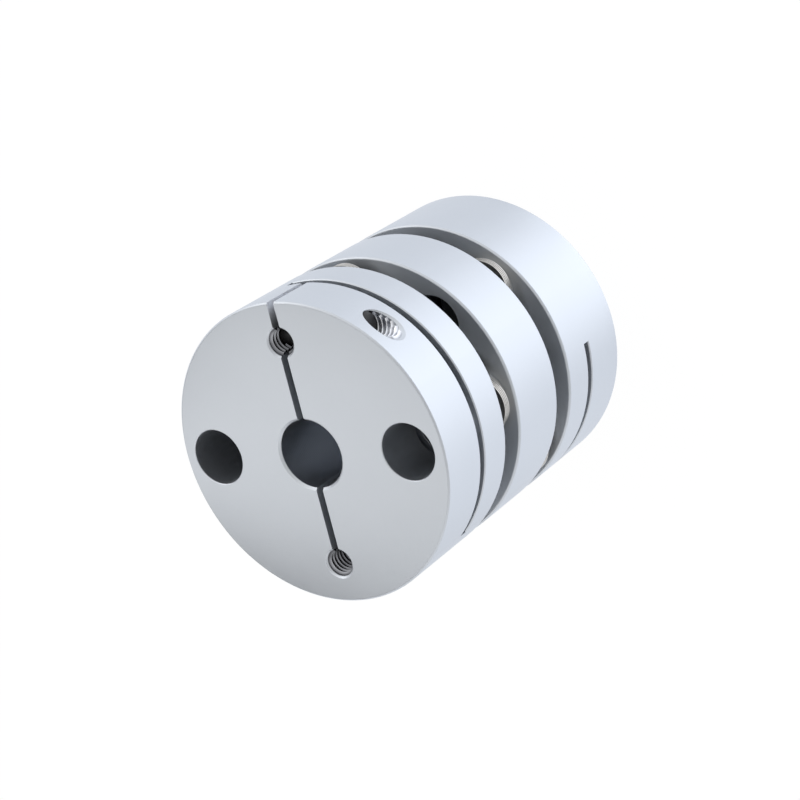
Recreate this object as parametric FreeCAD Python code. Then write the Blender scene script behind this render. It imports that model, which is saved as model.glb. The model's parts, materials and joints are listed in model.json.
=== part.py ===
import FreeCAD, Part
import math
import os

# Disc coupling for two 10 mm shafts, standing on the end of its rear hub.
#
# Two clamping hubs and a spacer between them are joined by two packs of thin
# square spring plates. Each pack is screwed to its hub at two opposite corners
# and to the spacer at the other two, so it bends where the shafts don't line up.
# The screws that hold a pack to the spacer go in through the hub's wide holes,
# and those that hold it to the hub go in from the spacer's wide holes.
#
# The axis is Z, with the origin in the middle of the rear end face, in millimetres.
# Angles go clockwise round the axis as seen from the front end, above, from +Y.

# Hubs and spacer
outer_diameter = 44.0
hub_length = 15.3
spacer_length = 11.0
gap_width = 4.0
edge_chamfer = 0.25
bore_diameter = 10.0
bore_chamfer = 0.35
spacer_wall = 3.15

# Bolt pattern, shared by the hubs, the spacer and the plates
bolts_per_pack = 4
bolt_edge_distance = 5.75
access_hole_diameter = 8.2
access_hole_chamfer = 0.12
tapped_hole_chamfer = 0.3
pack_twist = 45.0

# Clamping cuts of a hub, measured from its end face
clamp_land = 8.35
slot_width = 1.2
slot_middle_angle = 64.0
slot_half_span = 72.0
slot_edge_break = 0.15
saw_diameter = 63.0
slit_width = 1.1

# Clamp screw of a hub, square to the slit
clamp_edge_distance = 5.55
clamp_screw_length = 16.0
clamp_seat_distance = 3.8
clamp_mouth_chamfer = 0.3
counterbore_play = 0.2
counterbore_wall = 0.25

# Spring plates
plates_per_pack = 4
plate_thickness = 0.325
plate_inset = 0.35
plate_corner_radius = 4.15
plate_bore_margin = 0.75
plate_edge_break = 0.06

# Collars, washers and socket head screws
collar_diameter = 9.0
washer_diameter = 9.0
washer_thickness = 0.8
ring_chamfer = 0.15
thread_diameter = 4.0
thread_play = 0.05
shank_play = 0.15
head_diameter = 7.0
head_height = 4.0
head_chamfer = 0.35
socket_across_flats = 3.0
socket_depth = 2.0
disc_screw_length = 8.0
screw_tip_chamfer = 0.4

# Worked out from the sizes above
outer_radius = outer_diameter / 2
bore_radius = bore_diameter / 2
bolt_radius = outer_radius - bolt_edge_distance
access_radius = access_hole_diameter / 2
thread_radius = thread_diameter / 2
shank_radius = thread_radius - thread_play
clearance_radius = thread_radius + shank_play
pack_thickness = plates_per_pack * plate_thickness
collar_thickness = (gap_width - pack_thickness) / 2
counterbore_radius = head_diameter / 2 + counterbore_play
clamp_screw_offset = outer_radius - clamp_edge_distance
clamp_screw_level = counterbore_radius + counterbore_wall - clamp_land
spacer_bore_radius = bolt_radius - access_radius - spacer_wall
bolt_step = 360.0 / bolts_per_pack

# Levels along the axis
rear_gap_level = hub_length
spacer_level = rear_gap_level + gap_width
front_gap_level = spacer_level + spacer_length
front_hub_level = front_gap_level + gap_width
total_length = front_hub_level + hub_length

# How far a cutter reaches past the face that it cuts, and how close a point counts as on a surface
reach = 1.0
closeness = 0.01

up = FreeCAD.Vector(0, 0, 1)
axis_point = FreeCAD.Vector(0, 0, 0)


def polar(radius, angle, level=0.0):
    """The point at an angle clockwise from +Y, seen from above."""
    turn = math.radians(angle)
    return FreeCAD.Vector(radius * math.sin(turn), radius * math.cos(turn), level)


def turned(shape, angle):
    """A copy turned clockwise about the axis, seen from above."""
    copy = shape.copy()
    copy.rotate(axis_point, up, -angle)
    return copy


def flipped(shape):
    """A copy turned over about the X axis."""
    copy = shape.copy()
    copy.rotate(axis_point, FreeCAD.Vector(1, 0, 0), 180)
    return copy


def moved(shape, place):
    copy = shape.copy()
    copy.translate(place)
    return copy


def revolved(profile, sweep=360.0, start=0.0):
    """A solid turned from (radius, level) points, through an angle from a start angle."""
    points = [polar(radius, start, level) for radius, level in profile]
    wire = Part.makePolygon(points + [points[0]])
    return Part.Face(wire).revolve(axis_point, up, -sweep)


def turned_blank(length, inner_radius, inner_chamfer):
    """A ring of the coupling's diameter with broken edges, hanging down from level 0."""
    return revolved([
        (inner_radius + inner_chamfer, 0),
        (outer_radius - edge_chamfer, 0),
        (outer_radius, -edge_chamfer),
        (outer_radius, edge_chamfer - length),
        (outer_radius - edge_chamfer, -length),
        (inner_radius + inner_chamfer, -length),
        (inner_radius, inner_chamfer - length),
        (inner_radius, -inner_chamfer),
    ])


def hole_cutter(radius, length, chamfer, place):
    """A through hole down from level 0 at a place, with a chamfer at both ends."""
    down = FreeCAD.Vector(0, 0, -1)
    bottom = FreeCAD.Vector(0, 0, -length)
    top_cone = Part.makeCone(radius, radius + 2 * chamfer, 2 * chamfer, FreeCAD.Vector(0, 0, -chamfer), up)
    low_cone = Part.makeCone(radius, radius + 2 * chamfer, 2 * chamfer, bottom + up * chamfer, down)
    shaft = Part.makeCylinder(radius, length + 2 * reach, bottom - up * reach, up)
    return moved(shaft.fuse([top_cone, low_cone]), place)


def slot_cutter():
    """The saw cut across the hub, round behind the clamp land, with its broken edges."""
    half_span = math.radians(slot_half_span)
    saw_radius = saw_diameter / 2
    half_chord = outer_radius * math.sin(half_span)
    saw_place = outer_radius * math.cos(half_span) + math.sqrt(saw_radius ** 2 - half_chord ** 2)
    floor = -clamp_land - slot_width
    saw = Part.makeCylinder(saw_radius, slot_width, polar(saw_place, slot_middle_angle, floor), up)
    start = slot_middle_angle - slot_half_span
    inner = outer_radius - slot_edge_break
    outer = outer_radius + reach
    rise = slot_edge_break + reach
    upper_profile = [(inner, -clamp_land), (outer, -clamp_land), (outer, rise - clamp_land)]
    lower_profile = [(inner, floor), (outer, floor), (outer, floor - rise)]
    breaks = [revolved(profile, 2 * slot_half_span, start) for profile in (upper_profile, lower_profile)]
    return saw.fuse(breaks)


def slit_cutter():
    """The narrow cut from the rim across the bore into the far tapped hole."""
    depth = clamp_land + slot_width / 2
    length = outer_radius + bolt_radius + reach
    corner = FreeCAD.Vector(-slit_width / 2, -bolt_radius, -depth)
    return Part.makeBox(slit_width, length, depth + reach, corner)


def clamp_screw_cutter():
    """Counterbore, clearance hole and tapped hole, one behind the other along X."""
    along = FreeCAD.Vector(1, 0, 0)
    line = FreeCAD.Vector(0, clamp_screw_offset, clamp_screw_level)
    far = outer_radius + reach
    seat = line - along * clamp_seat_distance
    rim = line - along * far
    counterbore = Part.makeCylinder(counterbore_radius, far - clamp_seat_distance, rim, along)
    clearance = Part.makeCylinder(clearance_radius, clamp_seat_distance, seat, along)
    tapped = Part.makeCylinder(thread_radius, far, line, along)
    return counterbore.fuse([clearance, tapped])


def is_clamp_mouth(edge):
    """Whether an edge is where the clamp screw's tapped hole comes out of the rim."""
    for point in edge.discretize(8):
        from_rim = math.hypot(point.x, point.y) - outer_radius
        from_hole = math.hypot(point.y - clamp_screw_offset, point.z - clamp_screw_level) - thread_radius
        if abs(from_rim) > closeness or abs(from_hole) > closeness:
            return False
    return True


def hub():
    """A clamping hub with its end face at level 0 and its slit towards +Y."""
    cutters = [slot_cutter(), slit_cutter(), clamp_screw_cutter()]
    for index in range(bolts_per_pack):
        place = polar(bolt_radius, index * bolt_step)
        if index % 2:
            cutters.append(hole_cutter(access_radius, hub_length, access_hole_chamfer, place))
        else:
            cutters.append(hole_cutter(thread_radius, hub_length, tapped_hole_chamfer, place))
    body = turned_blank(hub_length, bore_radius, bore_chamfer).cut(cutters).Solids[0]
    return body.makeChamfer(clamp_mouth_chamfer, [edge for edge in body.Edges if is_clamp_mouth(edge)])


def spacer():
    """The ring between the packs, drilled for both bolt patterns."""
    ring = turned_blank(spacer_length, spacer_bore_radius, bore_chamfer)
    cutters = []
    for index in range(bolts_per_pack):
        for twist, tapped in ((0.0, index % 2), (pack_twist, index % 2)):
            place = polar(bolt_radius, index * bolt_step + twist)
            if tapped:
                cutters.append(hole_cutter(thread_radius, spacer_length, tapped_hole_chamfer, place))
            else:
                cutters.append(hole_cutter(access_radius, spacer_length, access_hole_chamfer, place))
    return moved(ring.cut(cutters), up * front_gap_level)


def plate_outline():
    """A square with rounded corners at the bolts, as a wire on level 0."""
    centre_radius = outer_radius - plate_inset - plate_corner_radius
    edges = []
    for index in range(bolts_per_pack):
        angle = index * bolt_step
        centre = polar(centre_radius, angle)
        first = centre + polar(plate_corner_radius, angle - bolt_step / 2)
        crown = centre + polar(plate_corner_radius, angle)
        last = centre + polar(plate_corner_radius, angle + bolt_step / 2)
        next_centre = polar(centre_radius, angle + bolt_step)
        following = next_centre + polar(plate_corner_radius, angle + bolt_step / 2)
        edges.append(Part.Arc(first, crown, last).toShape())
        edges.append(Part.LineSegment(last, following).toShape())
    return Part.Wire(edges)


def plate():
    """One spring plate, lying on level 0, with its stamped edges broken."""
    sheet = Part.Face(plate_outline()).extrude(up * plate_thickness)
    rims = [edge for edge in sheet.Edges if edge.BoundBox.ZLength < plate_thickness / 2]
    body = sheet.makeChamfer(plate_edge_break, rims)
    plate_bore_radius = bolt_radius - collar_diameter / 2 - plate_bore_margin
    cutters = [Part.makeCylinder(plate_bore_radius, plate_thickness + 2 * reach, up * -reach, up)]
    for index in range(bolts_per_pack):
        place = polar(bolt_radius, index * bolt_step, -reach)
        cutters.append(Part.makeCylinder(clearance_radius, plate_thickness + 2 * reach, place, up))
    return body.cut(cutters)


def ring(diameter, thickness):
    """A collar or washer lying on level 0, with its outer edges broken."""
    radius = diameter / 2
    return revolved([
        (clearance_radius, 0),
        (radius - ring_chamfer, 0),
        (radius, ring_chamfer),
        (radius, thickness - ring_chamfer),
        (radius - ring_chamfer, thickness),
        (clearance_radius, thickness),
    ])


def screw(length):
    """A socket head screw, its head standing on level 0 and its shank hanging down."""
    head_radius = head_diameter / 2
    turned_form = revolved([
        (0, head_height),
        (head_radius - head_chamfer, head_height),
        (head_radius, head_height - head_chamfer),
        (head_radius, 0),
        (shank_radius, 0),
        (shank_radius, screw_tip_chamfer - length),
        (shank_radius - screw_tip_chamfer, -length),
        (0, -length),
    ])
    corner_radius = socket_across_flats / math.sqrt(3)
    floor = head_height - socket_depth
    corners = [polar(corner_radius, 60.0 * side, floor) for side in range(7)]
    socket = Part.Face(Part.makePolygon(corners)).extrude(up * (socket_depth + reach))
    return turned_form.cut(socket)


def pack_pieces(end):
    """The plates, collars, washers and screws of one pack, above level 0 at the hub's face.

    The spacer lies below, at minus the gap. Corners 1 and 3 are held to the hub and
    corners 2 and 4 to the spacer.
    """
    pieces = {}
    hub_side = -collar_thickness
    spacer_side = hub_side - pack_thickness
    for number in range(plates_per_pack):
        level = spacer_side + number * plate_thickness
        pieces[f"{end}_plate_{number + 1}"] = moved(plate(), up * level)
    collar = ring(collar_diameter, collar_thickness)
    washer = ring(washer_diameter, washer_thickness)
    disc_screw = screw(disc_screw_length)
    for index in range(bolts_per_pack):
        place = polar(bolt_radius, index * bolt_step)
        if index % 2:
            collar_here = moved(collar, place + up * (spacer_side - collar_thickness))
            washer_here = moved(washer, place + up * hub_side)
            screw_here = moved(disc_screw, place + up * (hub_side + washer_thickness))
        else:
            collar_here = moved(collar, place + up * hub_side)
            washer_here = moved(washer, place + up * (spacer_side - washer_thickness))
            screw_here = moved(flipped(disc_screw), place + up * (spacer_side - washer_thickness))
        pieces[f"{end}_collar_{index + 1}"] = collar_here
        pieces[f"{end}_washer_{index + 1}"] = washer_here
        pieces[f"{end}_disc_screw_{index + 1}"] = screw_here
    return pieces


def clamp_screw():
    """The clamp screw in a hub whose end face is at level 0, with its head towards -X."""
    lying = screw(clamp_screw_length)
    lying.rotate(axis_point, FreeCAD.Vector(0, 1, 0), -90)
    return moved(lying, FreeCAD.Vector(-clamp_seat_distance, clamp_screw_offset, clamp_screw_level))


def front_end(shape, face_level):
    """Puts a piece drawn from a hub's face at its level at the front end."""
    return moved(shape, up * face_level)


def rear_end(shape, face_level):
    """Turns a piece over and round for the rear end, whose pack is twisted from the front's."""
    return moved(turned(flipped(shape), pack_twist), up * face_level)


def pieces():
    """Every piece of the coupling by its node's name."""
    made = {
        "front_hub": front_end(hub(), total_length),
        "rear_hub": rear_end(hub(), 0.0),
        "spacer": spacer(),
        "front_clamp_screw": front_end(clamp_screw(), total_length),
        "rear_clamp_screw": rear_end(clamp_screw(), 0.0),
    }
    for name, shape in pack_pieces("front").items():
        made[name] = front_end(shape, front_hub_level)
    for name, shape in pack_pieces("rear").items():
        made[name] = rear_end(shape, hub_length)
    return made


os.makedirs("parts", exist_ok=True)
for node_name, solid in pieces().items():
    solid.exportStep(f"parts/{node_name}.step")
    print(node_name, len(solid.Solids), solid.isValid(), round(solid.Volume, 2))
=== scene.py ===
# %% [markdown]
# # A double disc coupling, dressed for its picture
#
# The coupling joins two shafts end to end. Two clamping hubs and a spacer ring are turned from
# aluminium and blasted, thin spring plates lie between them, and black screws hold the stack.
# The solids are already exact, so this file gives them their finishes, cuts the fine threads that
# the solids leave out, and sets up the camera and the light.

# %% The frame
import functools
import json
import math

import bpy
from mathutils import Matrix, Quaternion, Vector


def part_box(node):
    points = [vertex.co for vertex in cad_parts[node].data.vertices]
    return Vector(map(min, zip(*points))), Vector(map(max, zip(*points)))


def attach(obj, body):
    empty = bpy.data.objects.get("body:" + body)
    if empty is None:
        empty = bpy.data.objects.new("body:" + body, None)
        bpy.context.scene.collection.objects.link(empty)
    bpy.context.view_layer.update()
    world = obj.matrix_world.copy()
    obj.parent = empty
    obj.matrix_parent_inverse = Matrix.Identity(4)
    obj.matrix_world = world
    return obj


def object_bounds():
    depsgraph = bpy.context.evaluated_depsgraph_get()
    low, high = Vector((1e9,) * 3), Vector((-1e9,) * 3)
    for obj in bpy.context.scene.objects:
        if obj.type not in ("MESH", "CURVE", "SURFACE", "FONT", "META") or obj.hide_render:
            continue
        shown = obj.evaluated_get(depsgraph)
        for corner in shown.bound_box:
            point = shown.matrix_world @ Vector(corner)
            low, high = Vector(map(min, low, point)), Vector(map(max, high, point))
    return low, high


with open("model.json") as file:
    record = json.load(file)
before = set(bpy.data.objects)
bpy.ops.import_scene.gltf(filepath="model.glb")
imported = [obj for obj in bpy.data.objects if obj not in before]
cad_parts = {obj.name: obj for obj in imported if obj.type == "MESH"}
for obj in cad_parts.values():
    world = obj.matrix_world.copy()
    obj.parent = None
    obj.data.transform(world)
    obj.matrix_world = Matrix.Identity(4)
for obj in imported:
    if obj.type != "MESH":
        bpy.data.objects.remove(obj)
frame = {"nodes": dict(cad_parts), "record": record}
cad_box = [list(corner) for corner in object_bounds()]
nodes = frame["nodes"]
mm = 0.001
box_in_mm = [[round(value / mm, 2) for value in corner] for corner in cad_box]
print("solids:", len(nodes), "box in mm:", box_in_mm)

# %% [markdown]
# ## Sizes taken from the solids
#
# Everything below is placed from the solids' own boxes, so a changed coupling is still dressed
# correctly. A box gives a node's lowest and highest corners in metres. The coupling stands on its
# rear hub with its axis on Z. The first disc screw lies on the Y axis, so its middle gives the
# radius of the circle that all bolts lie on.

# %% Sizes
hub_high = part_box("front_hub")[1]
rear_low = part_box("rear_hub")[0]
spacer_low, spacer_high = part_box("spacer")
outer_radius = hub_high.x
total_length = hub_high.z
quarter_turn = math.radians(90.0)
half_turn = math.radians(180.0)
pack_twist = math.radians(45.0)


def middle(node):
    """The middle of a node's box."""
    low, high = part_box(node)
    return (low + high) / 2


bolt_circle = middle("front_disc_screw_1").y
print("radius", round(outer_radius / mm, 2), "length", round(total_length / mm, 2))
print("bolts lie", round(bolt_circle / mm, 2), "from the axis")

# %% [markdown]
# ## The camera
#
# The picture was taken from above the front face, with the coupling lying on its side. The solids
# stand upright instead, so the camera is rolled by the same amount and the picture comes out as
# it was. A camera can be placed by three angles or by a constraint. Here its place is a
# direction, a distance and a point to look at, because those can be read and changed one at a
# time.

# %% Camera
view_azimuth = 64.290
view_elevation = 50.375
view_roll = 124.521
view_distance = 305.447 * mm
view_target = Vector((-0.695, -1.196, 25.748)) * mm
lens_length = 94.615
sensor_width = 36.0
nearest_shown = 10 * mm


def toward(azimuth, elevation):
    """The direction at an azimuth clockwise from +Y, seen from above, and an elevation."""
    turn = math.radians(azimuth)
    rise = math.radians(elevation)
    level = math.cos(rise)
    return Vector((level * math.sin(turn), level * math.cos(turn), math.sin(rise)))


def add_camera():
    data = bpy.data.cameras.new("camera")
    data.sensor_width = sensor_width
    data.lens = lens_length
    data.clip_start = nearest_shown
    camera = bpy.data.objects.new("camera", data)
    bpy.context.scene.collection.objects.link(camera)
    direction = toward(view_azimuth, view_elevation)
    upright = direction.to_track_quat("Z", "Y")
    rolled = upright @ Quaternion((0, 0, 1), -math.radians(view_roll))
    place = view_target + direction * view_distance
    camera.matrix_world = Matrix.Translation(place) @ rolled.to_matrix().to_4x4()
    bpy.context.scene.camera = camera
    return camera


print("camera at", [round(value / mm, 1) for value in add_camera().location])

# %% [markdown]
# ## Node trees written in code
#
# Finishes, threads, floor and world are all node trees. They could be wired by hand in the editor,
# but in code a tree can be read, and its numbers have names. One method adds any node: its
# settings first, because some of them change which sockets it has, and then the value or link of
# each socket. A few short methods add the nodes that come up again and again.

# %% Node trees


class Net:
    """A node tree under construction."""

    def __init__(self, tree):
        self.tree = tree

    def node(self, kind, settings=None, sockets=None):
        """Adds a node with its settings, and with the values or links of its sockets."""
        made = self.tree.nodes.new(kind)
        for name, setting in (settings or {}).items():
            setattr(made, name, setting)
        for name, value in (sockets or {}).items():
            self.feed(made.inputs[name], value)
        return made

    def feed(self, socket, value):
        """Links a field or a socket to a socket, or sets the socket's own value."""
        if isinstance(value, Field):
            value = value.socket
        if isinstance(value, bpy.types.NodeSocket):
            self.tree.links.new(value, socket)
        else:
            socket.default_value = value

    def field(self, socket):
        return Field(self, socket)

    def maths(self, operation, *values, clamp=False):
        """A Math node on numbers and fields."""
        settings = {"operation": operation, "use_clamp": clamp}
        return self.field(self.node("ShaderNodeMath", settings, dict(enumerate(values))).outputs[0])

    def mixed(self, mask, low, high):
        """A colour between two colours."""
        made = self.node("ShaderNodeMix", {"data_type": "RGBA"}, {0: mask, 6: low, 7: high})
        return made.outputs[2]

    def dot(self, place, direction):
        """How far a place lies along a direction."""
        made = self.node("ShaderNodeVectorMath", {"operation": "DOT_PRODUCT"}, {0: place, 1: direction})
        return self.field(made.outputs["Value"])

    def split(self, place):
        """The three coordinates of a place."""
        parts = self.node("ShaderNodeSeparateXYZ", None, {"Vector": place}).outputs
        return [self.field(part) for part in parts]


# %% [markdown]
# ## Arithmetic on fields
#
# A mask such as "inside this hole" is a sum of small steps, and each step is a Math node. Wrapping
# a socket in a class lets Python's own operators add those nodes, so a mask reads as the formula
# that it is. The reflected forms are there too, so that `1 - mask` works as well as `mask - 1`.

# %% Fields


class Field:
    """A number that changes over a surface. Python arithmetic on it adds Math nodes."""

    def __init__(self, net, socket):
        self.net = net
        self.socket = socket

    def __add__(self, other):
        return self.net.maths("ADD", self, other)

    def __radd__(self, other):
        return self.net.maths("ADD", other, self)

    def __sub__(self, other):
        return self.net.maths("SUBTRACT", self, other)

    def __rsub__(self, other):
        return self.net.maths("SUBTRACT", other, self)

    def __mul__(self, other):
        return self.net.maths("MULTIPLY", self, other)

    def __rmul__(self, other):
        return self.net.maths("MULTIPLY", other, self)

    def __truediv__(self, other):
        return self.net.maths("DIVIDE", self, other)

    def __abs__(self):
        return self.net.maths("ABSOLUTE", self)

    def root(self):
        return self.net.maths("SQRT", self)

    def sine(self):
        return self.net.maths("SINE", self)

    def larger(self, other):
        return self.net.maths("MAXIMUM", self, other)

    def smaller(self, other):
        return self.net.maths("MINIMUM", self, other)

    def above(self, edge, blur):
        """0 below an edge and 1 above it, with a soft step as wide as the blur."""
        return self.net.maths("MULTIPLY", self - (edge - blur / 2), 1 / blur, clamp=True)

    def bell(self):
        """1 at 0, falling off smoothly on both sides."""
        return self.net.maths("EXPONENT", self * self * -1)


# %% [markdown]
# ## A finish starts from the metal's place
#
# A surface pattern can come from an unwrapped image, or from the place itself. All patterns here
# read Object coordinates, in metres, which needs no unwrapping. The pieces sit at the origin, so a
# grain that is a tenth of a millimetre wide is that wide on every piece, and it never slides.
#
# Every metal ends in the same way, with a bump from its grain and one main shader. Blasting also
# rounds off sharp edges. A Bevel node does that to the shading alone: it turns the surface's
# direction near an edge, and the solid stays as it is.

# %% A metal finish
bevel_samples = 6
no_shift = (0.0, 0.0, 0.0)


def colour(red, green, blue):
    """A colour with its fourth value, as a node's socket wants it."""
    return (red, green, blue, 1.0)


class Finish(Net):
    """A metal's material, with its place on the piece and its main shader."""

    def __init__(self, name):
        self.material = bpy.data.materials.new(name)
        self.material.use_nodes = True
        super().__init__(self.material.node_tree)
        self.tree.nodes.clear()
        coordinates = self.node("ShaderNodeTexCoord").outputs
        self.place = coordinates["Object"]
        self.facing = coordinates["Normal"]

    def turned(self, turn, shift=no_shift):
        """The place, turned by angles about X and then Z, and shifted."""
        sockets = {"Vector": self.place, "Rotation": turn, "Location": shift}
        return self.node("ShaderNodeMapping", None, sockets).outputs["Vector"]

    def noise(self, size, detail, place=None, stretch=(1.0, 1.0, 1.0)):
        """Soft random values from 0 to 1, about as large as the size."""
        scale = tuple(value / size for value in stretch)
        start = self.place if place is None else place
        mapped = self.node("ShaderNodeMapping", None, {"Vector": start, "Scale": scale})
        sockets = {"Vector": mapped.outputs["Vector"], "Scale": 1.0, "Detail": detail}
        return self.field(self.node("ShaderNodeTexNoise", None, sockets).outputs[0])

    def close(self, base, roughness, height, distance, metallic=1.0, softening=None):
        """Puts the shader on its output, with the height as its bump and edges rounded by a radius."""
        bump = self.node("ShaderNodeBump", None, {"Height": height, "Distance": distance})
        if softening is not None:
            soft = self.node("ShaderNodeBevel", {"samples": bevel_samples}, {"Radius": softening})
            self.feed(bump.inputs["Normal"], soft.outputs["Normal"])
        shader = self.node("ShaderNodeBsdfPrincipled", None, {
            "Base Color": base,
            "Roughness": roughness,
            "Metallic": metallic,
            "Normal": bump.outputs["Normal"],
        })
        self.node("ShaderNodeOutputMaterial", None, {"Surface": shader.outputs[0]})
        print("finish", self.material.name, "has", len(self.tree.nodes), "nodes")
        return self.material


# %% [markdown]
# ## Where the cuts are
#
# The hubs and the spacer were turned, blasted and then drilled, tapped and sawn, and each cut has
# its own look. Its faces could be picked out by hand and given another material, but the border
# would then be as hard as the faces are. Here each cut is a mask instead: the distance from its own
# axis or plane, with a soft step at its size. The radii are those of the solids, and a mask
# reaches a blur further, so that a wall is well inside it.

# %% Masks of the cuts
mask_blur = 0.06 * mm
bore_radius = 5.0 * mm
spacer_bore_radius = 9.0 * mm
access_radius = 4.1 * mm
tapped_radius = 2.0 * mm
slit_half_width = 0.6 * mm
slit_depth = 8.4 * mm
# How far in from the rim the slit's walls get a painted highlight, and how softly it fades.
slit_highlight_end = 0.7 * mm
slit_highlight_blur = 2.6 * mm
rim_band = 0.6 * mm


def union(masks):
    """1 where any of the masks is 1."""
    return functools.reduce(Field.larger, masks)


def near_line(across, along, radius):
    """1 within a radius of a line, from the two distances square to it."""
    distance = (across * across + along * along).root()
    return 1 - distance.above(radius + mask_blur, mask_blur)


def on_slit_walls(x, y, z):
    """1 on the slit's walls between the rim and the first tapped hole."""
    beside = 1 - abs(x).above(slit_half_width, mask_blur)
    return beside * y.above(bolt_circle, mask_blur) * z.above(total_length - slit_depth, mask_blur)


def slit_highlight_falloff(y):
    """1 at the slit's mouth, falling off inwards, which sets the painted highlight on the slit's walls."""
    return y.above(outer_radius - slit_highlight_end - slit_highlight_blur / 2, slit_highlight_blur)


def at_outer_edges(x, y, z, node):
    """1 near the two outer edges of a turned piece."""
    low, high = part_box(node)
    near_low = 1 - (z - low.z).above(rim_band, mask_blur)
    near_high = z.above(high.z - rim_band, mask_blur)
    outside = (x * x + y * y).root().above(outer_radius - rim_band, mask_blur)
    return near_low.larger(near_high) * outside


# %% [markdown]
# ## Blasted aluminium
#
# Blasting with fine beads leaves a pale, even satin: a metal with a rough shine, a faint grain, and
# very slight clouds of tone. What was cut looks different. Bores are smoother and show rings from
# the tool. The bores and access holes get a darker tone, partly the cut metal's own and partly
# painted shade. The grooves of the threads get painted shade. The sawn slit is rough, and its walls
# get a painted highlight at the rim and painted shade inside. The outer edges are rounder than the
# others, so they get a larger radius.
#
# One function makes all three finishes. Both hubs are one design, so the rear hub's place is first
# turned over into the front hub's, and the same masks serve both. The spacer has two patterns of
# holes, one for each pack, and no slit.

# %% Blasted aluminium
grain_size = 0.10 * mm
grain_height = 0.005 * mm
mottle_size = 0.6 * mm
cloud_size = 7.0 * mm
cloud_share = 0.6
drill_ring = 0.35 * mm
ring_share = 0.5
edge_round = 0.06 * mm
rim_round = 0.22 * mm
satin_dark = colour(0.62, 0.65, 0.69)
satin_light = colour(0.67, 0.70, 0.74)
# A darker tone for the bores and access holes, partly the cut metal's own and partly painted shade.
bored_tone_and_shade = colour(0.42, 0.43, 0.46)
bored_darkening_share = 0.35
# Painted shade in the grooves of the tapped holes.
groove_painted_shade = colour(0.06, 0.06, 0.07)
groove_shade_share = 0.6
# Painted shade and painted highlight on the sawn slit's walls.
sawn_painted_shade = colour(0.20, 0.21, 0.22)
sawn_painted_highlight = colour(0.80, 0.82, 0.86)
satin_roughness = 0.43
cloud_roughness = 0.04
mottle_roughness = 0.06
bored_polish = 0.16
drilled_polish = 0.04
sawn_roughness = 0.45


def blasted_aluminium(node, bore, turns, shift=no_shift, clamped=True):
    """The finish of a turned piece, from its bore's radius and the turn of each of its hole patterns."""
    finish = Finish("blasted_aluminium_" + node)
    x, y, z = finish.split(finish.place)
    bored = near_line(x, y, bore)
    rings = (z * (2 * math.pi / drill_ring)).sine()
    softening = edge_round + at_outer_edges(x, y, z, node) * (rim_round - edge_round)
    patterns = [finish.split(finish.turned(turn, shift)) for turn in turns]
    drilled = union(near_line(abs(x) - bolt_circle, y, access_radius) for x, y, z in patterns)
    tapped = union(near_line(x, abs(y) - bolt_circle, tapped_radius) for x, y, z in patterns)
    clouds = finish.noise(cloud_size, detail=3.0)
    mottle = finish.noise(mottle_size, detail=2.0)
    grain = finish.noise(grain_size, detail=2.0)
    tone = clouds * cloud_share + mottle * (1 - cloud_share)
    base = finish.mixed(tone, satin_dark, satin_light)
    # Bores and access holes go darker, partly with painted shade.
    base = finish.mixed((bored + drilled) * bored_darkening_share, base, bored_tone_and_shade)
    # The grooves of the tapped holes get painted shade.
    base = finish.mixed(tapped * groove_shade_share, base, groove_painted_shade)
    roughness = satin_roughness + clouds * cloud_roughness + mottle * mottle_roughness
    roughness = roughness - bored * bored_polish - drilled * drilled_polish
    if clamped:
        x, y, z = patterns[0]
        sawn = on_slit_walls(x, y, z)
        # The slit's walls get a painted highlight near the rim and painted shade further in.
        base = finish.mixed(sawn, base, finish.mixed(slit_highlight_falloff(y), sawn_painted_shade, sawn_painted_highlight))
        roughness = roughness + sawn * sawn_roughness
    height = grain * (1 - bored) + rings * bored * ring_share
    return finish.close(base, roughness, height, grain_height, softening=softening)


front_turn = (0.0, 0.0, 0.0)
rear_turn = (half_turn, 0.0, -pack_twist)
rear_shift = (0.0, 0.0, total_length)
spacer_turns = [(0.0, 0.0, quarter_turn), (0.0, 0.0, quarter_turn + pack_twist)]
own_metals = {
    "front_hub": blasted_aluminium("front_hub", bore_radius, [front_turn]),
    "rear_hub": blasted_aluminium("rear_hub", bore_radius, [rear_turn], rear_shift),
    "spacer": blasted_aluminium("spacer", spacer_bore_radius, spacer_turns, clamped=False),
}

# %% [markdown]
# ## Spring steel
#
# The plates and collars are bright stainless spring steel. Rolling draws its surface out into long
# fine lines, so the noise is stretched along one direction. Round the edge of a pack, dirt and shade
# in the seams between the plates draw dark lines. Grooves could be modelled there, but the plates lie
# face to face, so the lines are painted, where the distance to the nearest plate's face is small.
# They are kept off the flat faces by the way that the surface faces.

# %% Spring steel
line_width = 0.12 * mm
line_stretch = 40.0
line_angle = math.radians(20.0)
line_height = 0.004 * mm
steel_dark = colour(0.52, 0.50, 0.47)
steel_light = colour(0.64, 0.62, 0.58)
steel_roughness = 0.24
line_roughness = 0.10
steel_cloud_roughness = 0.06
seam_half_width = 0.045 * mm
seam_blur = 0.05 * mm
seam_tone = colour(0.05, 0.045, 0.04)
seam_roughness = 0.3
flat_from = 0.9
flat_blur = 0.1


def plates_of(side):
    return [name for name in nodes if name.startswith(side + "_plate_")]


def pack_levels(side):
    """The lowest level of a pack of plates and the thickness of one plate, from the plates' boxes."""
    boxes = [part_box(name) for name in plates_of(side)]
    low = min(box[0].z for box in boxes)
    high = max(box[1].z for box in boxes)
    return low, (high - low) / len(boxes)


def in_seams(finish, level, thickness):
    """1 in the seams between the plates that start at a level, round the pack's edge, and 0 elsewhere."""
    layer = (finish.split(finish.place)[2] - level) / thickness
    from_seam = abs(layer - finish.maths("ROUND", layer)) * thickness
    flat = abs(finish.split(finish.facing)[2]).above(flat_from, flat_blur)
    return (1 - from_seam.above(seam_half_width, seam_blur)) * (1 - flat)


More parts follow.
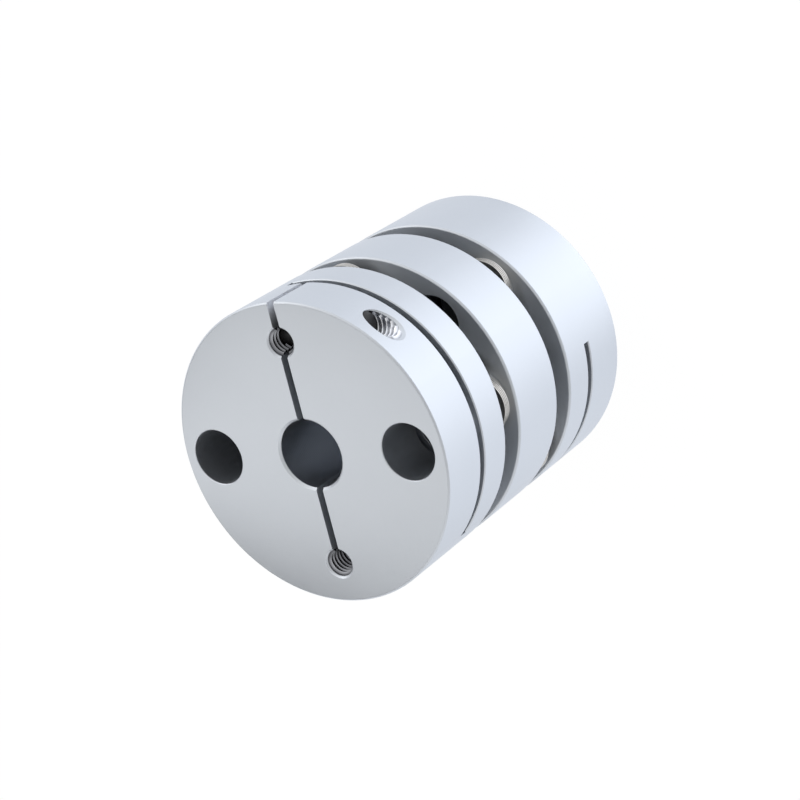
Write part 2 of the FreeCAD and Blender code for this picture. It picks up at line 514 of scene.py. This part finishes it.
def spring_steel(name, levels=None):
    """Rolled steel, with dark seams where the levels of a pack of plates are given."""
    finish = Finish(name)
    rolled = finish.turned((0.0, 0.0, line_angle))
    lines = finish.noise(line_width, detail=2.0, place=rolled, stretch=(1 / line_stretch, 1.0, 1.0))
    clouds = finish.noise(cloud_size, detail=2.0)
    base = finish.mixed(lines, steel_dark, steel_light)
    roughness = steel_roughness + lines * line_roughness + clouds * steel_cloud_roughness
    if levels:
        seam = in_seams(finish, *levels)
        base = finish.mixed(seam, base, seam_tone)
        roughness = roughness + seam * seam_roughness
    return finish.close(base, roughness, lines, line_height)


slot_metals = {"spring_steel": spring_steel("spring_steel_collars")}
for side in ("front", "rear"):
    pack_steel = spring_steel(f"spring_steel_{side}_pack", pack_levels(side))
    own_metals.update({name: pack_steel for name in plates_of(side)})

# %% [markdown]
# ## Black oxide
#
# The screws and washers are blackened in a hot salt bath. That could be a black metal, but the skin
# hides the steel and mirrors little, so it is a nearly black plain surface with a dull, slightly
# uneven shine.

# %% Black oxide
speck_size = 0.3 * mm
speck_height = 0.006 * mm
oxide_cloud_size = cloud_size / 3
oxide_dark = colour(0.010, 0.010, 0.011)
oxide_light = colour(0.020, 0.019, 0.020)
oxide_roughness = 0.34
speck_roughness = 0.16


def black_oxide():
    finish = Finish("black_oxide_steel")
    specks = finish.noise(speck_size, detail=3.0)
    clouds = finish.noise(oxide_cloud_size, detail=2.0)
    base = finish.mixed(clouds, oxide_dark, oxide_light)
    roughness = oxide_roughness + specks * speck_roughness
    return finish.close(base, roughness, specks, speck_height, metallic=0.0)


slot_metals["black_oxide_steel"] = black_oxide()

# %% [markdown]
# ## Smooth shading and dressing
#
# A solid arrives as loose triangles, which would show every facet of a round face. Its mesh could be
# changed once and for all, but a live modifier leaves the solid's own mesh as it was. A small
# Geometry Nodes tree merges the triangles by distance and smooths each face up to its sharp edges.
# Then each solid gets its own metal, or the metal of its slot in the record.

# %% Smooth shading and dressing
merge_distance = 0.001 * mm
smooth_angle = math.radians(20.0)


def geometry_net(name, inputs=()):
    """A new Geometry Nodes tree with a geometry in and out, and with more named inputs."""
    tree = bpy.data.node_groups.new(name, "GeometryNodeTree")
    for label, kind in (("Geometry", "NodeSocketGeometry"), *inputs):
        tree.interface.new_socket(label, in_out="INPUT", socket_type=kind)
    tree.interface.new_socket("Geometry", in_out="OUTPUT", socket_type="NodeSocketGeometry")
    return Net(tree)


def smoothing_tree():
    net = geometry_net("smooth_by_angle")
    start = net.node("NodeGroupInput").outputs["Geometry"]
    sockets = {"Geometry": start, "Distance": merge_distance}
    merged = net.node("GeometryNodeMergeByDistance", None, sockets).outputs[0]
    sockets = {"Geometry": merged, "Shade Smooth": True}
    faces = net.node("GeometryNodeSetShadeSmooth", {"domain": "FACE"}, sockets).outputs[0]
    angle = net.node("GeometryNodeInputMeshEdgeAngle").outputs["Unsigned Angle"]
    flat_enough = net.maths("LESS_THAN", angle, smooth_angle)
    sockets = {"Geometry": faces, "Shade Smooth": flat_enough}
    edges = net.node("GeometryNodeSetShadeSmooth", {"domain": "EDGE"}, sockets).outputs[0]
    net.node("NodeGroupOutput", None, {"Geometry": edges})
    return net.tree


smooth_by_angle = smoothing_tree()
slot_of = {part["node"]: part["material_slot"] for part in frame["record"]["subparts"]}
for name, solid in nodes.items():
    modifier = solid.modifiers.new("smooth_by_angle", "NODES")
    modifier.node_group = smooth_by_angle
    metal = own_metals.get(name) or slot_metals[slot_of[name]]
    solid.data.materials.clear()
    solid.data.materials.append(metal)
print("dressed", len(nodes), "solids")

# %% [markdown]
# ## The section of a thread's ridge
#
# The solids have plain holes where the real coupling has M4 threads. Where a hole is open, the
# thread shows as a spiral of bright ridges. A bump would give their shade, but not the notched
# outline that the holes have, so the ridges are real. A ridge is a small trapezium swept along a
# spiral. Its root sits a little inside the wall, and its crest points to the hole's axis.
#
# The crest is marked with 1 and the root with 0. The mark is a named attribute of the points, which
# the sweep hands on to the ridge, so that its metal can tell the two apart.

# %% The ridge's section
ridge_height = 0.36 * mm
ridge_sunk = 0.02 * mm
root_width = 0.60 * mm
crest_width = 0.13 * mm
crest_mark = "crest"


def marked(net, geometry, name, value):
    """The same geometry, with a value stored on its points."""
    settings = {"data_type": "FLOAT", "domain": "POINT"}
    sockets = {"Geometry": geometry, "Name": name, "Value": value}
    return net.node("GeometryNodeStoreNamedAttribute", settings, sockets).outputs[0]


def ridge_section(net, place):
    """The closed curve that is swept, with its crest towards the hole's axis."""
    outline = net.node("GeometryNodeCurvePrimitiveQuadrilateral", {"mode": "TRAPEZOID"}, {
        "Height": ridge_height + ridge_sunk,
        "Bottom Width": root_width,
        "Top Width": crest_width,
        "Offset": 0.0,
    }).outputs[0]
    upper = net.maths("GREATER_THAN", net.split(place)[1], 0.0)
    section = marked(net, outline, crest_mark, upper)
    shift = (0.0, (ridge_height - ridge_sunk) / 2, 0.0)
    seated = net.node("GeometryNodeTransform", None, {"Geometry": section, "Translation": shift}).outputs[0]
    turn = (0.0, 0.0, -quarter_turn)
    return net.node("GeometryNodeTransform", None, {"Geometry": seated, "Rotation": turn}).outputs[0]


# %% [markdown]
# ## The path of a thread's ridge
#
# A tap cuts its spiral through the whole hole, but the slit, the saw slot and the crossing screw
# hole interrupt the wall. Cutting the ridges with copies of those shapes would work too. Testing
# the distance from the spiral to the wall finds all three at once, and needs no copies: a point of
# the spiral stays only where a wall is there to carry it. A second test, a little nearer to the
# mouth, keeps half a ridge's width clear of the mouth's chamfer.
#
# Each stretch of ridge grows from a small end, as a real thread runs out.

# %% The ridge's path
steps_per_turn = 48
wall_tolerance = 0.05 * mm
mouth_margin = 0.26 * mm
fade_length = 0.4 * mm
end_scale = 0.15


def gap_to_wall(net, wall, place, shift):
    """The distance from a place, moved by a shift, to the wall's nearest face."""
    sample = net.node("ShaderNodeVectorMath", {"operation": "ADD"}, {0: place, 1: shift}).outputs[0]
    sockets = {0: wall, "Sample Position": sample}
    near = net.node("GeometryNodeProximity", {"target_element": "FACES"}, sockets)
    return net.field(near.outputs["Distance"])


def carried_spiral(net, start, place):
    """The spiral along the hole, without the points that have no wall beside them."""
    spiral = net.node("GeometryNodeCurveSpiral", None, {
        "Resolution": steps_per_turn,
        "Rotations": start["Turns"],
        "Start Radius": tapped_radius,
        "End Radius": tapped_radius,
        "Height": start["Length"],
    }).outputs[0]
    path = net.node("GeometryNodeCurveToMesh", None, {"Curve": spiral}).outputs[0]
    info = net.node("GeometryNodeObjectInfo", {"transform_space": "RELATIVE"}, {"Object": start["Wall"]})
    wall = info.outputs["Geometry"]
    beside = gap_to_wall(net, wall, place, no_shift)
    nearer_mouth = gap_to_wall(net, wall, place, (0.0, 0.0, -mouth_margin))
    missing = net.maths("GREATER_THAN", beside.larger(nearer_mouth), wall_tolerance)
    sockets = {"Geometry": path, "Selection": missing}
    carried = net.node("GeometryNodeDeleteGeometry", {"domain": "POINT"}, sockets).outputs[0]
    curves = net.node("GeometryNodeMeshToCurve", None, {"Mesh": carried}).outputs[0]
    return net.node("GeometryNodeSetCurveNormal", {"mode": "Z_UP"}, {"Curve": curves}).outputs[0]


def swell_from_ends(net):
    """The section's scale along a stretch of ridge."""
    run = net.field(net.node("GeometryNodeSplineParameter").outputs["Length"])
    whole = net.field(net.node("GeometryNodeSplineLength").outputs["Length"])
    from_end = run.smaller(whole - run)
    return end_scale + (1 - end_scale) * (from_end / fade_length).smaller(1.0)


# %% [markdown]
# ## The tree that makes a thread
#
# The tree puts path and section together. Its named inputs are the wall's object, the open length,
# the number of turns and the metal. The points of the path carry a second mark, their depth in the
# hole, which is simply their height in the hole's own frame, because the spiral starts at the mouth.

# %% The ridge's tree
depth_mark = "depth"


def ridge_tree():
    net = geometry_net("thread_ridge", (
        ("Wall", "NodeSocketObject"),
        ("Length", "NodeSocketFloat"),
        ("Turns", "NodeSocketFloat"),
        ("Metal", "NodeSocketMaterial"),
    ))
    start = net.node("NodeGroupInput").outputs
    place = net.node("GeometryNodeInputPosition").outputs[0]
    sockets = {"Curve": carried_spiral(net, start, place), "Radius": swell_from_ends(net)}
    sized = net.node("GeometryNodeSetCurveRadius", None, sockets).outputs[0]
    path = marked(net, sized, depth_mark, net.split(place)[2])
    sockets = {"Curve": path, "Profile Curve": ridge_section(net, place), "Fill Caps": True}
    ridge = net.node("GeometryNodeCurveToMesh", None, sockets).outputs[0]
    real = net.node("GeometryNodeRealizeInstances", None, {"Geometry": ridge}).outputs[0]
    sockets = {"Geometry": real, "Material": start["Metal"]}
    metal = net.node("GeometryNodeSetMaterial", None, sockets).outputs[0]
    net.node("NodeGroupOutput", None, {"Geometry": metal})
    print("a thread's tree has", len(net.tree.nodes), "nodes")
    return net.tree


thread_tree = ridge_tree()

# %% [markdown]
# ## The threads' metal
#
# A tap leaves bare metal, smoother than the blasted faces and torn a little. The ridges' light is
# painted into their tone: a crest gets a painted highlight, and a root painted shade. The roots could
# have a material of their own, but the first mark lets one metal go smoothly from a root's tone to a
# crest's. Light also fades down a narrow hole, so painted shade darkens the crests in the end faces
# by the second mark, and their ridges are a darker, shaded copy of the rims' metal. The ridges in the
# two rims stay bright all the way down, so they have a metal of their own without that shade.

# %% The threads' metal
shade_depth = 3.5 * mm
tear_share = 0.1
cut_roughness = 0.20
tear_roughness = 0.12


def cut_aluminium(name, root, crest, shade):
    """Bare metal from a ridge's root to its crest, with its crests shaded down the hole."""
    finish = Finish(name)
    tears = finish.noise(grain_size, detail=2.0)
    height = finish.field(finish.node("ShaderNodeAttribute", {"attribute_name": crest_mark}).outputs["Fac"])
    depth = finish.field(finish.node("ShaderNodeAttribute", {"attribute_name": depth_mark}).outputs["Fac"])
    lit = 1 - depth.above(shade_depth / 2, shade_depth) * shade
    base = finish.mixed(height * (1 - tear_share + tears * tear_share) * lit, root, crest)
    return finish.close(base, cut_roughness + tears * tear_roughness, tears, grain_height)


# Root tones are painted shade and crest tones painted highlights, darker in the end faces, whose holes lie
# in more shade.
end_root = colour(0.08, 0.08, 0.09)
end_crest = colour(0.36, 0.37, 0.39)
rim_root = colour(0.45, 0.46, 0.49)
rim_crest = colour(0.86, 0.87, 0.90)
end_metal = cut_aluminium("cut_aluminium_end", end_root, end_crest, shade=0.85)
rim_metal = cut_aluminium("cut_aluminium_rim", rim_root, rim_crest, shade=0.0)

# %% [markdown]
# ## The open holes
#
# A hole is written as its wall's node, its mouth, the direction into it and its open length. These
# could be typed in, but they are taken from the boxes of the screws, so they follow the solids: a
# hole is open from the face to the tip of the screw that comes from the other side. Two screws of
# each pack end in a hub and two in the spacer. The rear clamp screw's hole is the front one's, turned
# over and twisted as the rear hub is.

# %% The open holes
down = Vector((0, 0, -1))


def end_hole(wall, screw, mouth_level, inward):
    """The tapped hole of a disc screw, from the level of its mouth to the screw's tip."""
    centre = middle(screw)
    low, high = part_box(screw)
    tip_level = high.z if inward.z < 0 else low.z
    mouth = Vector((centre.x, centre.y, mouth_level))
    return wall, mouth, inward, abs(tip_level - mouth_level)


def end_holes():
    """The holes of the eight disc screws."""
    found = []
    for number in (1, 3):
        found.append(end_hole("front_hub", f"front_disc_screw_{number}", hub_high.z, down))
        found.append(end_hole("rear_hub", f"rear_disc_screw_{number}", rear_low.z, -down))
    for number in (2, 4):
        found.append(end_hole("spacer", f"front_disc_screw_{number}", spacer_low.z, -down))
        found.append(end_hole("spacer", f"rear_disc_screw_{number}", spacer_high.z, down))
    return found


def rim_holes():
    """The holes of the two clamp screws, from the rim to the screw's tip."""
    centre = middle("front_clamp_screw")
    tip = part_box("front_clamp_screw")[1]
    depth = outer_radius - tip.x
    mouth = Vector((outer_radius, centre.y, centre.z))
    inward = Vector((-1, 0, 0))
    turned_over = Matrix.Rotation(-pack_twist, 3, "Z") @ Matrix.Rotation(half_turn, 3, "X")
    rear_mouth = turned_over @ (mouth - Vector((0, 0, total_length)))
    return [("front_hub", mouth, inward, depth), ("rear_hub", rear_mouth, turned_over @ inward, depth)]


# %% [markdown]
# ## One thread for each open hole
#
# A carrier object stands at the mouth and looks into the hole, so the tree can work in the hole's
# own frame. The modifier's inputs are set by their identifiers before it is first evaluated. Its
# result is taken as a plain mesh and moved into the coupling's frame, and all ten become one piece.

# %% Placing the threads
thread_pitch = 0.7 * mm
past_tip = 0.3 * mm
smooth_crest = math.radians(35.0)


def thread_mesh(wall, mouth, direction, depth, metal):
    """The ridge of one hole as a plain mesh in the coupling's frame."""
    carrier = bpy.data.objects.new("thread", bpy.data.meshes.new("thread"))
    bpy.context.scene.collection.objects.link(carrier)
    turn = direction.to_track_quat("Z", "Y").to_matrix().to_4x4()
    carrier.matrix_world = Matrix.Translation(mouth) @ turn
    modifier = carrier.modifiers.new("thread_ridge", "NODES")
    modifier.node_group = thread_tree
    length = depth + past_tip
    values = {"Wall": nodes[wall], "Length": length, "Turns": length / thread_pitch, "Metal": metal}
    for item in thread_tree.interface.items_tree:
        if item.name in values:
            modifier[item.identifier] = values[item.name]
    bpy.context.view_layer.update()
    evaluated = carrier.evaluated_get(bpy.context.evaluated_depsgraph_get())
    mesh = bpy.data.meshes.new_from_object(evaluated)
    mesh.transform(carrier.matrix_world)
    bpy.data.objects.remove(carrier)
    print("thread in", wall, round(depth / mm, 2), "mm long,", len(mesh.polygons), "faces")
    return mesh


def joined(name, meshes):
    """One object at the origin that holds several meshes."""
    parts = [bpy.data.objects.new(name, mesh) for mesh in meshes]
    for part in parts:
        bpy.context.scene.collection.objects.link(part)
    with bpy.context.temp_override(active_object=parts[0], selected_editable_objects=parts):
        bpy.ops.object.join()
    return parts[0]


ridges = [thread_mesh(*hole, end_metal) for hole in end_holes()]
ridges += [thread_mesh(*hole, rim_metal) for hole in rim_holes()]
threads = joined("tapped_hole_threads", ridges)
threads.data.shade_smooth()
threads.data.set_sharp_from_angle(angle=smooth_crest)
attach(threads, "root")

# %% [markdown]
# ## Floor
#
# The picture has a clean white ground. A white sheet could be lit until it vanishes, but that light
# would burn out the metal too. So the floor, seen directly or in a mirror, is mostly a white glow,
# and a little of it is a matt sheet. To all other rays it is the matt sheet alone. The metal mirrors
# a slightly blue floor with a brighter fan on one side, which is what gives the round sides their
# light band. The fan's width follows from where a round side of this radius mirrors the floor, so
# the band comes out equally wide on every piece. A weak patch of light lies beside the fan.

# %% Floor
floor_size = 3.0
floor_drop = 0.02 * mm
floor_glow = 1.05
floor_glow_share = 0.9
floor_tint = colour(0.955, 0.985, 1.045)
fan_azimuth = 61.0
fan_gain = 0.63
fan_half_angle = math.radians(30.0)
fan_start = 14 * mm
fan_start_blur = 8 * mm
patch_gain = 0.15
patch_start = 15 * mm
patch_start_blur = 60 * mm
patch_back = -5 * mm
patch_back_blur = 30 * mm
matt_white = colour(0.85, 0.85, 0.85)
white = colour(1.0, 1.0, 1.0)


def seen_rays(net):
    """Two fields: 1 for rays seen directly, in a mirror or in glass, and 1 for mirrored rays alone."""
    rays = net.node("ShaderNodeLightPath").outputs
    direct = net.field(rays["Is Camera Ray"])
    mirrored = net.field(rays["Is Glossy Ray"])
    passed = net.field(rays["Is Transmission Ray"])
    return direct + mirrored + passed, mirrored


def floor_brightness(net):
    """How much brighter than the rest the floor is under the fan and the patch beside it."""
    place = net.node("ShaderNodeTexCoord").outputs["Object"]
    along = net.dot(place, toward(fan_azimuth, 0.0))
    across = net.dot(place, toward(fan_azimuth + 90.0, 0.0))
    offset = across / (along * 2 - outer_radius) / fan_half_angle
    fan = offset.bell() * along.above(fan_start, fan_start_blur)
    patch = across.above(patch_start, patch_start_blur) * along.above(patch_back, patch_back_blur)
    return fan * fan_gain + patch * patch_gain


def add_floor():
    mesh = bpy.data.meshes.new("floor")
    half = floor_size / 2
    corners = [(x * half, y * half, -floor_drop) for x, y in ((-1, -1), (1, -1), (1, 1), (-1, 1))]
    mesh.from_pydata(corners, [], [(0, 1, 2, 3)])
    floor = bpy.data.objects.new("floor", mesh)
    bpy.context.scene.collection.objects.link(floor)
    material = bpy.data.materials.new("white_floor")
    material.use_nodes = True
    net = Net(material.node_tree)
    net.tree.nodes.clear()
    shown, mirrored = seen_rays(net)
    strength = (1 + floor_brightness(net) * mirrored) * floor_glow
    hue = net.mixed(mirrored, white, floor_tint)
    matt = net.node("ShaderNodeBsdfDiffuse", None, {"Color": matt_white}).outputs[0]
    glow = net.node("ShaderNodeEmission", None, {"Color": hue, "Strength": strength}).outputs[0]
    sheet = net.node("ShaderNodeMixShader", None, {0: shown * floor_glow_share, 1: matt, 2: glow}).outputs[0]
    net.node("ShaderNodeOutputMaterial", None, {"Surface": sheet})
    mesh.materials.append(material)
    print("floor", floor_size, "m wide")


add_floor()

# %% [markdown]
# ## World
#
# A metal looks like what it mirrors, so the room counts as much as the lamps. An image of a studio
# could surround the coupling, but two masks are enough here and can be tuned. The world is a plain
# studio, darker in two places. One is overhead on the left, which the flat end face mirrors. The
# other is the dark room on the right, which the chamfers facing that way mirror. Each place is
# bounded by how near a ray is to its direction, as a cosine, and by how steeply the ray rises. A
# bound is an edge and a blur. Rays that don't show the room meet an even fill instead.

# %% World
fill_strength = 0.7
room_direction = toward(85.0, 42.0)
room_shade = 0.32
room_near = (0.72, 0.40)
room_bottom = (0.30, 0.40)
room_top = (0.74, 0.15)
left_direction = toward(244.0, 50.0)
left_shade = 0.125
left_near = (0.70, 0.40)
left_bottom = (0.20, 0.30)


def add_world():
    world = bpy.data.worlds.new("studio")
    world.use_nodes = True
    bpy.context.scene.world = world
    net = Net(world.node_tree)
    net.tree.nodes.clear()
    direction = net.node("ShaderNodeTexCoord").outputs["Generated"]
    rise = net.split(direction)[2]
    room = net.dot(direction, room_direction).above(*room_near) * rise.above(*room_bottom)
    room = room * (1 - rise.above(*room_top))
    left = net.dot(direction, left_direction).above(*left_near) * rise.above(*left_bottom)
    shade = (1 - left * (1 - left_shade)) * (1 - room * (1 - room_shade))
    shown = seen_rays(net)[0]
    fill = net.node("ShaderNodeBackground", None, {"Color": white, "Strength": fill_strength}).outputs[0]
    seen = net.node("ShaderNodeBackground", None, {"Color": white, "Strength": shade}).outputs[0]
    both = net.node("ShaderNodeMixShader", None, {0: shown, 1: fill, 2: seen}).outputs[0]
    net.node("ShaderNodeOutputWorld", None, {"Surface": both})
    print("world has", len(net.tree.nodes), "nodes")


add_world()

# %% [markdown]
# ## Lamps
#
# The end face mirrors the dark place overhead, so a soft lamp close above it decides how its
# brightness falls off from one side to the other. A far lamp puts the white line on the chamfers
# along the top. A lamp's power is worked out from its radiance, the brightness that a mirror of it
# shows, so moving or resizing a lamp keeps its look.

# %% Lamps
end_face = Vector((0, 0, total_length))
face_target = end_face + Vector((25.3, 2.2, 0)) * mm


def add_lamp(name, target, azimuth, elevation, distance, size, radiance, spin=0.0):
    """A soft lamp that shines on a target from a direction and distance, its first side towards the spin."""
    data = bpy.data.lights.new(name, "AREA")
    data.shape = "RECTANGLE"
    data.size, data.size_y = size
    data.energy = radiance * math.pi * size[0] * size[1]
    lamp = bpy.data.objects.new(name, data)
    bpy.context.scene.collection.objects.link(lamp)
    back = toward(azimuth, elevation)
    level = toward(spin, 0.0)
    side = (level - back * level.dot(back)).normalized()
    turn = Matrix((side, back.cross(side), back)).transposed().to_4x4()
    lamp.matrix_world = Matrix.Translation(target + back * distance) @ turn
    lamp.visible_camera = False
    print(name, "gives", round(data.energy * 1000, 1), "mW")


add_lamp(
    "face_lamp",
    face_target,
    azimuth=246.0,
    elevation=48.0,
    distance=52.7 * mm,
    size=(53 * mm, 89 * mm),
    radiance=0.81,
    spin=36.9,
)
add_lamp(
    "rim_lamp",
    end_face,
    azimuth=323.0,
    elevation=16.0,
    distance=400 * mm,
    size=(160 * mm, 160 * mm),
    radiance=1.5,
)

# %% [markdown]
# ## Finish
#
# The Standard view transform shows a colour as it is written, so the metals keep their tones.

# %% Finish
bpy.context.scene.view_settings.view_transform = "Standard"
